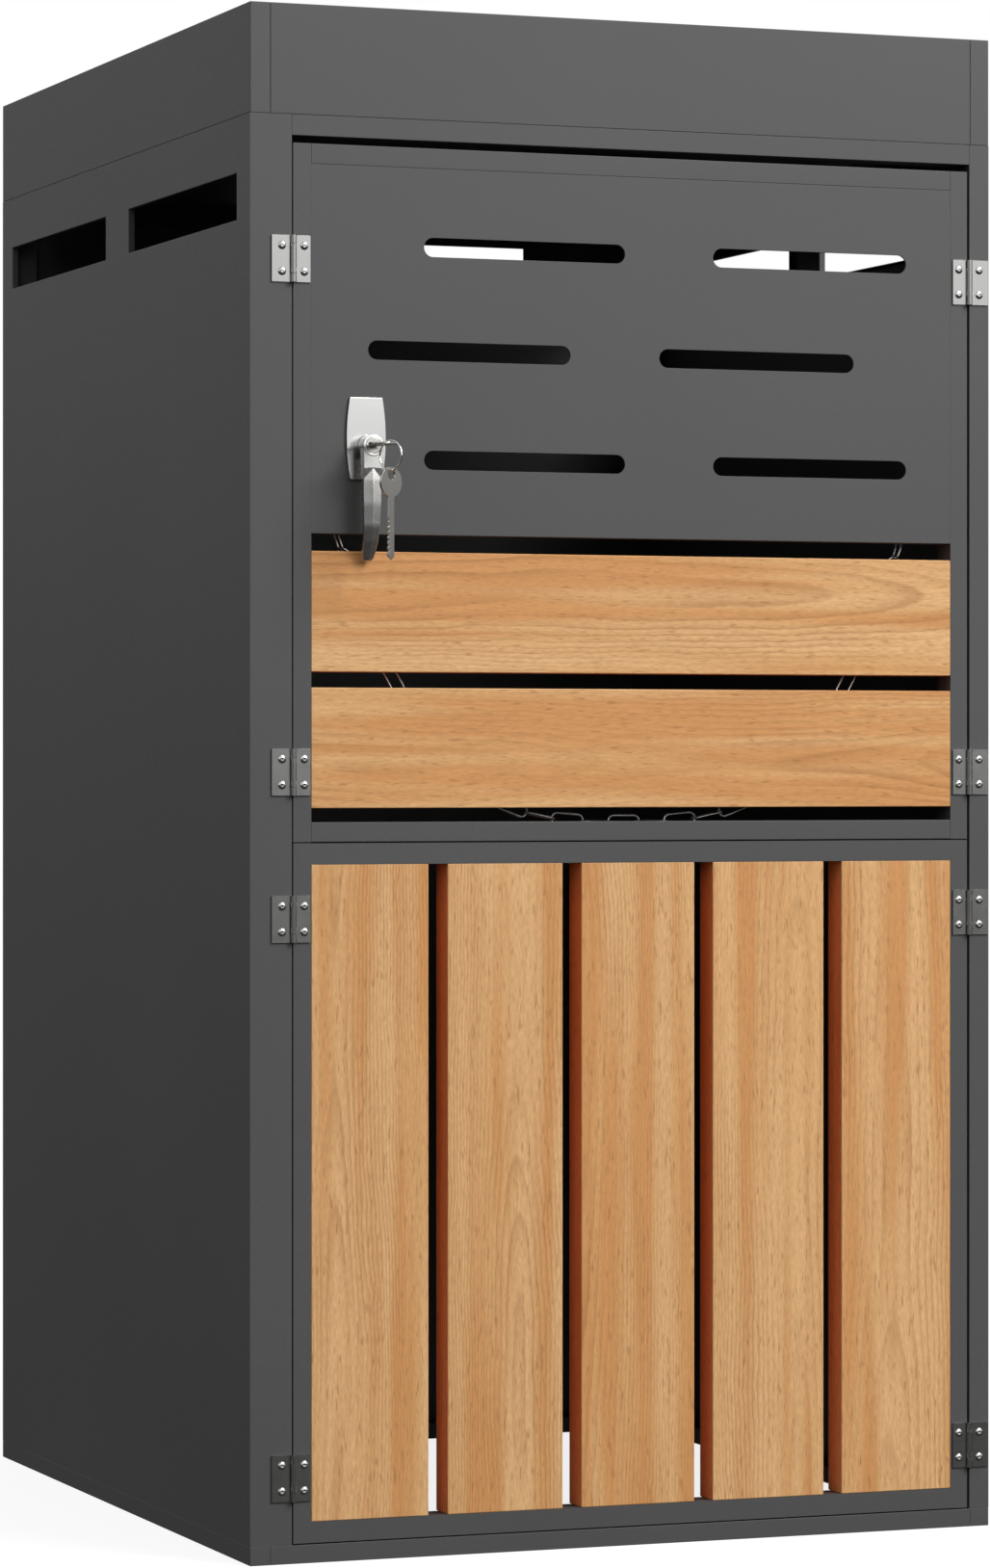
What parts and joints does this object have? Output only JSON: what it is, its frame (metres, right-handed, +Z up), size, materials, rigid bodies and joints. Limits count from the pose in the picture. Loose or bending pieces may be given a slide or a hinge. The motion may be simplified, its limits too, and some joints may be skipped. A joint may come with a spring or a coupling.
{
  "type": "wheeled bin store",
  "caption": "Powder-coated steel store for a wheeled bin: planting tray on top, slotted and slatted upper door with keyed handle, lower door of upright wooden slats.",
  "frame": {"origin": "on the ground, below the middle of the whole object's box, keys and ring included", "axes": "+Z up, +X to the right as seen from the front, +Y from the doors to the back"},
  "size_m": [0.68, 0.828, 1.3],
  "materials": {
    "powder_coat": "matte anthracite powder coat, fine texture",
    "slat_wood": "oiled light hardwood with cathedral and straight grain",
    "hinge_steel": "brushed stainless steel",
    "lock_metal": "satin nickel-plated die casting",
    "key_metal": "bright nickel plate",
    "chain_steel": "bright zinc-plated wire",
    "zinc_fixing": "zinc-plated steel"
  },
  "bodies": {
    "cabinet": {"base_front_sill": "powder_coat", "base_back_rail": "powder_coat", "base_side_rail_left": "powder_coat", "base_side_rail_right": "powder_coat", "post_front_left": "powder_coat", "post_front_right": "powder_coat", "post_back_left": "powder_coat", "post_back_right": "powder_coat", "header_front": "powder_coat", "header_back": "powder_coat", "header_left": "powder_coat", "header_right": "powder_coat", "side_panel_left": "powder_coat", "side_panel_right": "powder_coat", "back_panel": "powder_coat", "fascia_front": "powder_coat", "fascia_back": "powder_coat", "fascia_left": "powder_coat", "fascia_right": "powder_coat", "roof_tray": "powder_coat", "hinge_post_leaves": "hinge_steel", "hinge_pins": "hinge_steel", "hinge_screws_posts": "hinge_steel", "bolt_keeper": "zinc_fixing"},
    "upper_door": {"upper_door_stile_left": "powder_coat", "upper_door_stile_right": "powder_coat", "upper_door_rail_top": "powder_coat", "upper_door_rail_bottom": "powder_coat", "slotted_panel": "powder_coat", "lying_slat_1": "slat_wood", "lying_slat_2": "slat_wood", "upper_door_hinge_leaves": "hinge_steel", "hinge_screws_upper_door": "hinge_steel", "slat_screws_upper_door": "zinc_fixing", "lock_escutcheon": "lock_metal", "lock_fixing_nut": "zinc_fixing", "door_chain": "chain_steel", "chain_eyes": "chain_steel"},
    "handle": {"handle_lever": "lock_metal", "handle_spindle": "zinc_fixing", "lock_cam": "zinc_fixing", "cam_nut": "zinc_fixing"},
    "lock_barrel": {"lock_cylinder": "key_metal"},
    "key": {"door_key": "key_metal"},
    "ring": {"key_ring": "key_metal"},
    "spare": {"spare_key": "key_metal"},
    "lower_door": {"lower_door_stile_left": "powder_coat", "lower_door_stile_right": "powder_coat", "lower_door_rail_top": "powder_coat", "lower_door_rail_bottom": "powder_coat", "standing_slat_1": "slat_wood", "standing_slat_2": "slat_wood", "standing_slat_3": "slat_wood", "standing_slat_4": "slat_wood", "standing_slat_5": "slat_wood", "lower_door_hinge_leaves": "hinge_steel", "hinge_screws_lower_door": "hinge_steel", "slat_screws_lower_door": "zinc_fixing", "bolt_guide": "zinc_fixing"},
    "bolt": {"slide_bolt": "zinc_fixing"}
  },
  "joints": [
    {"name": "upper_door_hinge", "type": "hinge", "parent": "cabinet", "child": "upper_door", "pos_m": [0.3203, -0.3486, 0.9], "axis": [0, 0, 1], "range_deg": [0, 115]},
    {"name": "lower_door_hinge", "type": "hinge", "parent": "cabinet", "child": "lower_door", "pos_m": [0.3203, -0.3486, 0.3], "axis": [0, 0, 1], "range_deg": [0, 115]},
    {"name": "handle_turn", "type": "hinge", "parent": "upper_door", "child": "handle", "pos_m": [-0.2385, -0.346, 0.932], "axis": [0, 1, 0], "range_deg": [0, 90]},
    {"name": "cylinder_turn", "type": "hinge", "parent": "handle", "child": "lock_barrel", "pos_m": [-0.2385, -0.346, 0.932], "axis": [0, 1, 0], "range_deg": [0, 90]},
    {"name": "key_pull", "type": "slide", "parent": "lock_barrel", "child": "key", "axis": [0, -1, 0], "range_m": [0, 0.041]},
    {"name": "ring_swing", "type": "hinge", "parent": "key", "child": "ring", "pos_m": [-0.23605, -0.40199, 0.93336], "axis": [0.4431, -0.8965, 0], "range_deg": [-20, 20]},
    {"name": "spare_key_swing", "type": "hinge", "parent": "ring", "child": "spare", "pos_m": [-0.23605, -0.40199, 0.90916], "axis": [0.4431, -0.8965, 0], "range_deg": [-40, 40]},
    {"name": "bolt_slide", "type": "slide", "parent": "lower_door", "child": "bolt", "axis": [-1, 0, 0], "range_m": [0, 0.025]}
  ]
}
